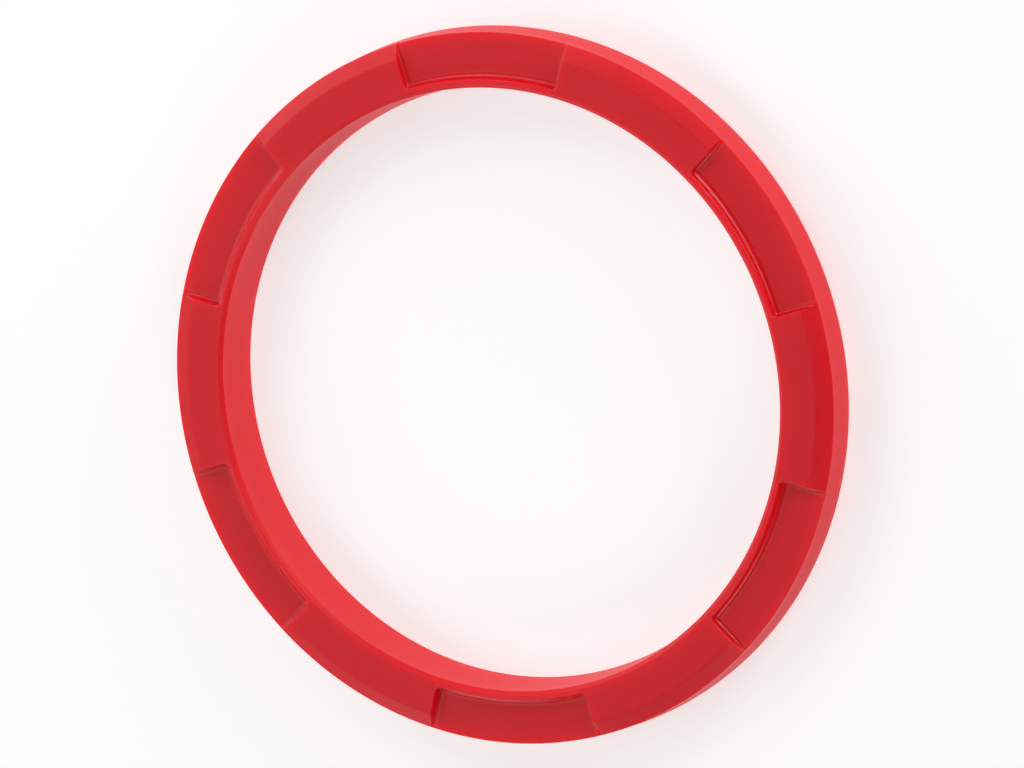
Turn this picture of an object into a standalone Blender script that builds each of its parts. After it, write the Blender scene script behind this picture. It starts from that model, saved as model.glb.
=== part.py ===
"""Hub centring ring: a turned plastic ring with six recesses cut in its upper face."""
import math

import bmesh
import bpy

# Driving dimensions, in metres and degrees. The ring lies on its back, with its axis on Z.
OUTSIDE_DIAMETER = 0.0760  # widest place, which fills the wheel's centre bore
BORE_DIAMETER = 0.0634  # narrowest place, which sits on the hub
HEIGHT = 0.00644
WALL_TAPER = 0.00026  # the outside radius falls by this from its widest place to the rim
BACK_CHAMFER = 0.0020  # at 45 degrees, so that the back enters the wheel first
BORE_TAPER = 0.00027  # the bore's radius grows by this from the back to the lead-in
LEAD_IN_WIDTH = 0.00041  # bevel that guides the hub into the bore
LEAD_IN_DEPTH = 0.00038
LIP_WIDTH = 0.00054  # flat top of the lip that closes the recesses on the inside
RECESS_COUNT = 6
RECESS_ANGLE = 30.2
RECESS_DEPTH = 0.00088
LAND_CHAMFER_WIDTH = 0.00163  # the chamfer's foot is level with the recess floors
TURN_STEPS = 180  # facets round the ring
CUT_CLEARANCE = 0.0010  # how far a cutter stands out past the faces that it opens

# Sizes that follow
OUTSIDE_RADIUS = OUTSIDE_DIAMETER / 2
RIM_RADIUS = OUTSIDE_RADIUS - WALL_TAPER
BORE_RADIUS = BORE_DIAMETER / 2
THROAT_RADIUS = BORE_RADIUS + BORE_TAPER
LIP_INNER_RADIUS = THROAT_RADIUS + LEAD_IN_WIDTH
LIP_OUTER_RADIUS = LIP_INNER_RADIUS + LIP_WIDTH
FLOOR_HEIGHT = HEIGHT - RECESS_DEPTH

PLASTIC_RED = (0.56, 0.024, 0.032, 1.0)
PLASTIC_ROUGHNESS = 0.45


def clear_scene():
    for obj in list(bpy.data.objects):
        bpy.data.objects.remove(obj, do_unlink=True)


def make_collection(name):
    collection = bpy.data.collections.new(name)
    bpy.context.scene.collection.children.link(collection)
    return collection


def make_plastic():
    material = bpy.data.materials.new("red_plastic")
    material.use_nodes = True
    shader = material.node_tree.nodes["Principled BSDF"]
    shader.inputs["Base Color"].default_value = PLASTIC_RED
    shader.inputs["Roughness"].default_value = PLASTIC_ROUGHNESS
    shader.inputs["Metallic"].default_value = 0.0
    return material


def ring_section():
    """Closed half section as (radius, height): down the outside wall, then up the bore."""
    return [
        (RIM_RADIUS - LAND_CHAMFER_WIDTH, HEIGHT),
        (RIM_RADIUS, FLOOR_HEIGHT),
        (OUTSIDE_RADIUS, BACK_CHAMFER),
        (OUTSIDE_RADIUS - BACK_CHAMFER, 0.0),
        (BORE_RADIUS, 0.0),
        (THROAT_RADIUS, HEIGHT - LEAD_IN_DEPTH),
        (LIP_INNER_RADIUS, HEIGHT),
    ]


def make_ring(collection):
    points = ring_section()
    edges = [(i, (i + 1) % len(points)) for i in range(len(points))]
    mesh = bpy.data.meshes.new("centring_ring")
    mesh.from_pydata([(radius, 0.0, height) for radius, height in points], edges, [])
    mesh.materials.append(make_plastic())
    ring = bpy.data.objects.new("centring_ring", mesh)
    collection.objects.link(ring)
    turn = ring.modifiers.new("turn", "SCREW")
    turn.steps = TURN_STEPS
    turn.render_steps = TURN_STEPS
    turn.use_merge_vertices = True
    turn.merge_threshold = 0.00001
    return ring


def recess_mesh():
    """A block that curves along the ring, from the lip to past the rim, with radial ends."""
    half_angle = math.radians(RECESS_ANGLE / 2)
    outer_radius = OUTSIDE_RADIUS + CUT_CLEARANCE
    top = HEIGHT + CUT_CLEARANCE
    corners = [
        (LIP_OUTER_RADIUS, FLOOR_HEIGHT),
        (outer_radius, FLOOR_HEIGHT),
        (outer_radius, top),
        (LIP_OUTER_RADIUS, top),
    ]
    facets = max(2, math.ceil(TURN_STEPS * RECESS_ANGLE / 360))
    form = bmesh.new()
    rings = []
    for step in range(facets + 1):
        angle = half_angle * (2 * step / facets - 1)
        rings.append([
            form.verts.new((radius * math.cos(angle), radius * math.sin(angle), height))
            for radius, height in corners
        ])
    form.faces.new(rings[0])
    form.faces.new(reversed(rings[-1]))
    for near, far in zip(rings, rings[1:]):
        for i in range(len(corners)):
            j = (i + 1) % len(corners)
            form.faces.new((near[i], far[i], far[j], near[j]))
    bmesh.ops.recalc_face_normals(form, faces=form.faces)
    mesh = bpy.data.meshes.new("recess_block")
    form.to_mesh(mesh)
    form.free()
    return mesh


def cut_recesses(ring, collection):
    block = recess_mesh()
    for index in range(RECESS_COUNT):
        cutter = bpy.data.objects.new(f"recess_cutter_{index + 1}", block)
        cutter.rotation_euler.z = math.tau * index / RECESS_COUNT
        cutter.hide_render = True
        cutter.display_type = "WIRE"
        collection.objects.link(cutter)
        cut = ring.modifiers.new(f"recess_{index + 1}", "BOOLEAN")
        cut.operation = "DIFFERENCE"
        cut.solver = "EXACT"
        cut.object = cutter


def shade(ring):
    ring.data.shade_smooth()
    ring.data.set_sharp_from_angle(angle=math.radians(20))


def main():
    clear_scene()
    ring = make_ring(make_collection("hub_centring_ring"))
    cut_recesses(ring, make_collection("cutters"))
    shade(ring)


main()
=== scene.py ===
import math

import bmesh
import bpy
from mathutils import Matrix, Vector


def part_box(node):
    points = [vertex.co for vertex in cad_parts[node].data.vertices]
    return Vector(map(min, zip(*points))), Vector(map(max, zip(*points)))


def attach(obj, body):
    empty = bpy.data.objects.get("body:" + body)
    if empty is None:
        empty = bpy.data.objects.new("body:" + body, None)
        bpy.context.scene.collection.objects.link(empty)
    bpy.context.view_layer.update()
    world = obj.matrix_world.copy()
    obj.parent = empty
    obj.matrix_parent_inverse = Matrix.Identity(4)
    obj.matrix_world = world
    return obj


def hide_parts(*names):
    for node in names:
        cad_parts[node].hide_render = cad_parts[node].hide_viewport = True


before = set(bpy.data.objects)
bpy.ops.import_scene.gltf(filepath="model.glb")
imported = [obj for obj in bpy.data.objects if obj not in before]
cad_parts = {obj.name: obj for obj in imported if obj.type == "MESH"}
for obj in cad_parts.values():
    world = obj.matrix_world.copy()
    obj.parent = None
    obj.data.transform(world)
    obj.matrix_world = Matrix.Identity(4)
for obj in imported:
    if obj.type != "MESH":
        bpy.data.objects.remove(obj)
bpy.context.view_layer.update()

mm = 0.001


# the ring: one moulding, swept round the axis as columns of section points
ringShape = dict(  # millimetres and degrees; the outside and the height come from the frame
    boreRadius=31.70,
    boreTaper=0.27,
    leadInWidth=0.41,
    leadInDepth=0.38,
    lipWidth=0.54,
    wallTaper=0.26,
    backChamfer=2.0,
    landChamfer=1.63,
    recessDepth=0.88,
    recessCount=6,
    recessAngle=30.2,
    rimRound=0.07,
    creaseRound=0.06,
    lipRound=0.14,
    lipFoot=0.55,
    wallRound=0.12,
    wallFoot=0.34,
    wallDraft=0.05,
    pocketCorner=0.25,
    leadInRound=0.08,
    boreRound=0.08,
    backRound=0.18,
    columnStep=0.75,
    wallClear=1.15,  # degrees on each side of a recess end that its own columns fill
    creaseReach=0.5,  # on each side of the land chamfer's crease, closely pointed
    rimPolish=0.6,
    cornerPolish=0.2,
    flatWeight=80,
)


def roundedCorner(before, corner, after, radius, steps):
    # points of an arc that is tangent to both sides of a corner
    corner = Vector(corner)
    u = (Vector(before) - corner).normalized()
    v = (Vector(after) - corner).normalized()
    half = u.angle(v) / 2
    middle = corner + (u + v).normalized() * (radius / math.sin(half))
    start = corner + u * (radius / math.tan(half)) - middle
    end = corner + v * (radius / math.tan(half)) - middle
    turn = start.angle_signed(end)
    return [middle + Matrix.Rotation(-turn * i / steps, 2) @ start for i in range(steps + 1)]


def spread(start, end, count):
    # evenly spaced points strictly between two others
    start, end = Vector(start), Vector(end)
    return [start.lerp(end, i / (count + 1)) for i in range(1, count + 1)]


def softMin(a, b, width):
    # the smaller of two heights, with their crossing rounded over this width
    gap = max(width - abs(a - b), 0) / width
    return min(a, b) - gap * gap * width / 4


def ringSections(shape):
    # rows of (point on a land, point in a recess, how polished each is), once round the section
    low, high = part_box("centring_ring")
    outside, top = high.x / mm, high.z / mm
    floor = top - shape["recessDepth"]
    rim = outside - shape["wallTaper"]
    throat = shape["boreRadius"] + shape["boreTaper"]
    lipInner = throat + shape["leadInWidth"]
    lipOuter = lipInner + shape["lipWidth"]
    slope = shape["recessDepth"] / shape["landChamfer"]
    crease = rim - shape["landChamfer"]
    wide = (outside, shape["backChamfer"])
    back = (outside - shape["backChamfer"], 0)
    bore = (shape["boreRadius"], 0)
    leadIn = (throat, top - shape["leadInDepth"])
    foot = lipOuter + shape["lipFoot"]

    # outer rim
    rimRecess = roundedCorner(wide, (rim, floor), (lipOuter, floor), shape["rimRound"], 6)
    rimLand = roundedCorner(wide, (rim, floor), (crease, top), shape["rimRound"], 6)
    rimPolish = shape["rimPolish"]
    rows = [(a, b, rimPolish, rimPolish) for a, b in zip(rimLand, rimRecess)]

    # recess floor, with the chamfer and the flat of the land over it
    reach, step = shape["creaseReach"], 0.05
    pastRim = rim - shape["rimRound"] * 1.6
    radii = [pastRim, pastRim - step]
    radii += [p.x for p in spread((radii[-1], 0), (crease + reach - step, 0), 3)]
    radii += [p.x for p in spread((crease + reach, 0), (crease - reach, 0), 9)]
    radii += [p.x for p in spread((crease - reach, 0), (foot, 0), 6)]
    for r in radii:
        height = softMin(top, floor + (rim - r) * slope, shape["creaseRound"])
        rows.append((Vector((r, height)), Vector((r, floor)), 0, 0))

    # foot, wall and outer edge of the lip; a land runs flat over them
    footArc = roundedCorner((rim, floor), (lipOuter, floor), (lipOuter, top), shape["lipFoot"], 8)
    lipArc = roundedCorner((lipOuter, floor), (lipOuter, top), (lipInner, top), shape["lipRound"], 5)
    lip = footArc + spread(footArc[-1], lipArc[0], 1) + lipArc
    flat = [Vector((foot + (lipArc[-1].x - foot) * i / (len(lip) - 1), top)) for i in range(len(lip))]
    shine = [1] * len(footArc) + [0] + [1] * len(lipArc)
    rows += [(a, b, 0, c) for a, b, c in zip(flat, lip, shine)]

    # lip top, lead-in, bore, back and outside, the same all round
    corners = [
        ((lipInner, top), shape["leadInRound"], 1),
        (leadIn, shape["boreRound"], 3),
        (bore, shape["boreRound"], 3),
        (back, shape["backRound"], 2),
        (wide, shape["backRound"], 3),
    ]
    path = [lipArc[-1]] + [entry[0] for entry in corners] + [(rim, floor)]
    polish = shape["cornerPolish"]
    last = lipArc[-1]
    for i, (point, radius, count) in enumerate(corners):
        arc = roundedCorner(path[i], point, path[i + 2], radius, 4)
        rows += [(p, p, 0, 0) for p in spread(last, arc[0], count)]
        rows += [(p, p, polish, polish) for p in arc]
        last = arc[-1]
    rows += [(p, p, 0, 0) for p in spread(last, (rim, floor), 3)]
    return rows, lipOuter


def ringColumns(shape):
    # (angle, offset along the ring, side, depth share): share 0 is a land and 1 is a recess
    half = math.radians(shape["recessAngle"] / 2)
    pitch = math.tau / shape["recessCount"]
    step = math.radians(shape["columnStep"])
    depth = shape["recessDepth"]
    edge, foot = shape["wallRound"], shape["wallFoot"]
    wall = []
    for i in range(5):
        turn = math.pi / 2 * i / 4
        wall.append((-edge * (1 - math.sin(turn)), edge * (1 - math.cos(turn)) / depth))
    for i in range(8):
        turn = math.pi / 2 * (1 - i / 7)
        offset = shape["wallDraft"] + foot * (1 - math.sin(turn))
        wall.append((offset, 1 - foot * (1 - math.cos(turn)) / depth))
    clear = math.radians(shape["wallClear"])
    columns = []
    for index in range(shape["recessCount"]):
        middle = index * pitch
        columns += [(middle - half, offset, 1, share) for offset, share in wall]
        start, length = middle - half + clear, 2 * half - 2 * clear
        count = round(length / step)
        columns += [(start + length * i / count, 0, 0, 1) for i in range(count + 1)]
        columns += [(middle + half, offset, -1, share) for offset, share in reversed(wall)]
        landStart, landEnd = middle + half + clear / 4, middle + pitch - half - clear / 4
        count = round((landEnd - landStart) / step)
        columns += [(landStart + (landEnd - landStart) * i / count, 0, 0, 0) for i in range(count + 1)]
    return columns


def makeRing(shape):
    rows, lipOuter = ringSections(shape)
    corner = shape["pocketCorner"]
    form = bmesh.new()
    polish = form.verts.layers.float.new("polish")
    rings = []
    for angle, offset, side, share in ringColumns(shape):
        points = []
        for land, recess, landPolish, recessPolish in rows:
            p = land.lerp(recess, share)
            # the end wall bends away from the lip to round the pocket's corner
            near = min(max(corner - (recess.x - lipOuter), 0), corner)
            bend = corner - math.sqrt(corner * corner - near * near) if recess.x > lipOuter - 0.2 else 0
            turn = angle + side * (offset + bend * abs(side)) / p.x
            point = form.verts.new((p.x * math.cos(turn) * mm, p.x * math.sin(turn) * mm, p.y * mm))
            onWall = abs(side) * (land.y - recess.y > 0.02)
            point[polish] = max(landPolish + (recessPolish - landPolish) * share, onWall)
            points.append(point)
        rings.append(points)
    for i, ring in enumerate(rings):
        after = rings[(i + 1) % len(rings)]
        for j in range(len(ring)):
            k = (j + 1) % len(ring)
            form.faces.new((ring[j], ring[k], after[k], after[j]))
    bmesh.ops.recalc_face_normals(form, faces=form.faces)
    mesh = bpy.data.meshes.new("centringRing")
    form.to_mesh(mesh)
    form.free()
    mesh.shade_smooth()
    ring = bpy.data.objects.new("centringRing", mesh)
    bpy.context.scene.collection.objects.link(ring)
    weigh = ring.modifiers.new("flat faces", "WEIGHTED_NORMAL")
    weigh.weight = shape["flatWeight"]
    return ring


# the plastic: one red, mottled, grained on its faces and smoother in its fillets
plastic = dict(
    red=(0.70, 0.002, 0.012),
    paleRed=(0.80, 0.008, 0.020),
    roughness=(0.42, 0.56),
    polishedRoughness=0.24,
    specular=0.35,
    scatter=1.0,
    scatterRadius=(1.0, 0.12, 0.12),
    scatterReach=0.0025,
    mottleSize=0.00030,
    grainSize=0.00018,
    grainDepth=0.000014,
    grainStrength=0.5,
    mottleRange=(0.3, 0.7),  # the part of the noise that spreads over the roughness
)


def makePlastic(look):
    material = bpy.data.materials.new("redPlastic")
    material.use_nodes = True
    nodes, links = material.node_tree.nodes, material.node_tree.links
    shader = nodes["Principled BSDF"]
    shader.inputs["Specular IOR Level"].default_value = look["specular"]
    shader.inputs["Subsurface Weight"].default_value = look["scatter"]
    shader.inputs["Subsurface Radius"].default_value = look["scatterRadius"]
    shader.inputs["Subsurface Scale"].default_value = look["scatterReach"]
    place = nodes.new("ShaderNodeTexCoord")

    def cloud(size, detail):
        # soft noise with spots of about this size
        noise = nodes.new("ShaderNodeTexNoise")
        noise.inputs["Scale"].default_value = 1 / size
        noise.inputs["Detail"].default_value = detail
        links.new(place.outputs["Object"], noise.inputs["Vector"])
        return noise.outputs["Fac"]

    # faint mottling of the pigment
    mottle = cloud(look["mottleSize"], 2)
    colour = nodes.new("ShaderNodeMix")
    colour.data_type = "RGBA"
    colour.inputs["A"].default_value = (*look["red"], 1)
    colour.inputs["B"].default_value = (*look["paleRed"], 1)
    links.new(mottle, colour.inputs["Factor"])
    links.new(colour.outputs["Result"], shader.inputs["Base Color"])

    # dull on the faces, smoother in the fillets and on the edges
    dull = nodes.new("ShaderNodeMapRange")
    dull.inputs["From Min"].default_value = look["mottleRange"][0]
    dull.inputs["From Max"].default_value = look["mottleRange"][1]
    dull.inputs["To Min"].default_value = look["roughness"][0]
    dull.inputs["To Max"].default_value = look["roughness"][1]
    links.new(mottle, dull.inputs["Value"])
    edges = nodes.new("ShaderNodeAttribute")
    edges.attribute_name = "polish"
    finish = nodes.new("ShaderNodeMix")
    finish.inputs["B"].default_value = look["polishedRoughness"]
    links.new(edges.outputs["Fac"], finish.inputs["Factor"])
    links.new(dull.outputs["Result"], finish.inputs["A"])
    links.new(finish.outputs["Result"], shader.inputs["Roughness"])

    bump = nodes.new("ShaderNodeBump")
    bump.inputs["Strength"].default_value = look["grainStrength"]
    bump.inputs["Distance"].default_value = look["grainDepth"]
    links.new(cloud(look["grainSize"], 1), bump.inputs["Height"])
    links.new(bump.outputs["Normal"], shader.inputs["Normal"])
    return material


ring = makeRing(ringShape)
ring.data.materials.append(makePlastic(plastic))
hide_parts("centring_ring")
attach(ring, "root")
print("ring: made,", len(ring.data.polygons), "faces")


# the studio: a pale glowing floor, dim air and round soft panels
studio = dict(
    floorSize=6.0,
    floorDrop=0.00002,
    floorColour=(0.5, 0.5, 0.5, 1.0),
    floorRoughness=0.6,
    floorGlow=0.6,
    airStrength=0.1,
    panels=[  # name, azimuth from +X and height in degrees, distance, width over distance, strength
        ("panelRightBack", 30, 40, 0.55, 0.5, 0.2),
        ("panelBackLow", 60, 15, 0.55, 0.5, 0.2),
        ("panelBack", 90, 40, 1.2, 0.5, 0.15),
        ("panelTop", 120, 60, 1.2, 0.5, 0.1),
        ("panelLeftLow", 150, 15, 1.2, 0.5, 0.15),
        ("panelFrontLeft", 205, 30, 1.2, 0.4, 0.2),
        ("panelFrontLow", 300, 15, 1.2, 0.5, 0.2),
        ("panelRightLow", 320, 15, 0.55, 0.3, 0.25),
        ("panelRight", 330, 40, 1.2, 0.5, 0.1),
    ],
)


def makeFloor(settings):
    bpy.ops.mesh.primitive_plane_add(size=settings["floorSize"], location=(0, 0, -settings["floorDrop"]))
    floor = bpy.context.object
    floor.name = "studioFloor"
    material = bpy.data.materials.new("paleFloor")
    material.use_nodes = True
    shader = material.node_tree.nodes["Principled BSDF"]
    shader.inputs["Base Color"].default_value = settings["floorColour"]
    shader.inputs["Roughness"].default_value = settings["floorRoughness"]
    shader.inputs["Emission Color"].default_value = (1, 1, 1, 1)
    shader.inputs["Emission Strength"].default_value = settings["floorGlow"]
    floor.data.materials.append(material)


def makeWorld(settings):
    world = bpy.data.worlds.new("studioAir")
    bpy.context.scene.world = world
    world.use_nodes = True
    air = world.node_tree.nodes["Background"]
    air.inputs["Color"].default_value = (1, 1, 1, 1)
    air.inputs["Strength"].default_value = settings["airStrength"]


def makePanels(settings):
    # a strength of 1 lights a white card that faces the panel to full white
    for name, azimuth, height, distance, spread, strength in settings["panels"]:
        data = bpy.data.lights.new(name, "AREA")
        data.shape = "DISK"
        data.size = distance * spread
        data.energy = strength * (math.pi * distance) ** 2
        panel = bpy.data.objects.new(name, data)
        bpy.context.scene.collection.objects.link(panel)
        turn, lift = math.radians(azimuth), math.radians(height)
        away = Vector((math.cos(turn) * math.cos(lift), math.sin(turn) * math.cos(lift), math.sin(lift)))
        panel.rotation_euler = away.to_track_quat("Z", "Y").to_euler()
        panel.location = away * distance


makeFloor(studio)
makeWorld(studio)
makePanels(studio)
bpy.context.scene.view_settings.view_transform = "Standard"
print("studio: floor, air and", len(studio["panels"]), "panels")


# the camera: its angles in degrees, its distance and aim in metres
cameraView = dict(
    azimuth=21.35,
    elevation=63.42,
    roll=-112.16,
    distance=0.7411,
    lens=247.5,
    sensorWidth=36,
    aim=(-0.00027, 0.00098, 0.00003),
)


def makeCamera(view):
    data = bpy.data.cameras.new("camera")
    data.lens = view["lens"]
    data.sensor_width = view["sensorWidth"]
    data.clip_start = 0.01
    data.clip_end = 20
    camera = bpy.data.objects.new("camera", data)
    bpy.context.scene.collection.objects.link(camera)
    turn = math.radians(view["azimuth"])
    lift = math.radians(view["elevation"])
    away = Vector((math.sin(turn) * math.cos(lift), -math.cos(turn) * math.cos(lift), math.sin(lift)))
    facing = (-away).to_track_quat("-Z", "Y").to_matrix()
    rolled = facing @ Matrix.Rotation(math.radians(view["roll"]), 3, "Z")
    camera.matrix_world = Matrix.Translation(Vector(view["aim"]) + away * view["distance"]) @ rolled.to_4x4()
    bpy.context.scene.camera = camera


makeCamera(cameraView)
print("camera: placed")
